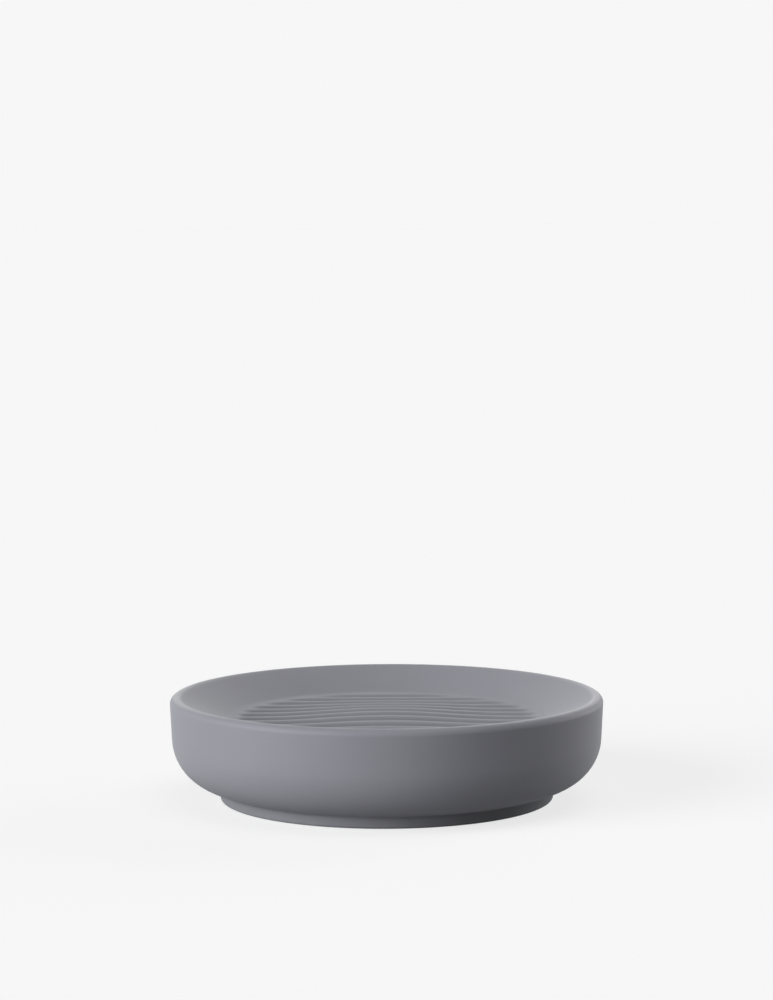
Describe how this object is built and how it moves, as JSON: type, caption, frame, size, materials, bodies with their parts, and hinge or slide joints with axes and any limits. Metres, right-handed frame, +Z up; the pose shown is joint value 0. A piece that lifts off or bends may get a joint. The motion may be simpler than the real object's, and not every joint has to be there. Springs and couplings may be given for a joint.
{
  "type": "soap dish",
  "caption": "Round stoneware soap dish with an upright wall, a funnel rim and a crowned floor of parallel drying ribs, standing on a foot ring with anti-slip pads.",
  "frame": {"origin": "on the table, under the middle of the dish", "axes": "+Z up along the axis of the round body, +X along the drying ribs, +Y away from the viewer across the ribs"},
  "size_m": [0.12, 0.12, 0.029],
  "materials": {
    "soft_touch_stoneware": "matte soft-touch coating",
    "pad_silicone": "matte silicone"
  },
  "bodies": {
    "root": {"dish_body": "soft_touch_stoneware", "pad_back_right": "pad_silicone", "pad_back_left": "pad_silicone", "pad_front_left": "pad_silicone", "pad_front_right": "pad_silicone"}
  },
  "joints": []
}
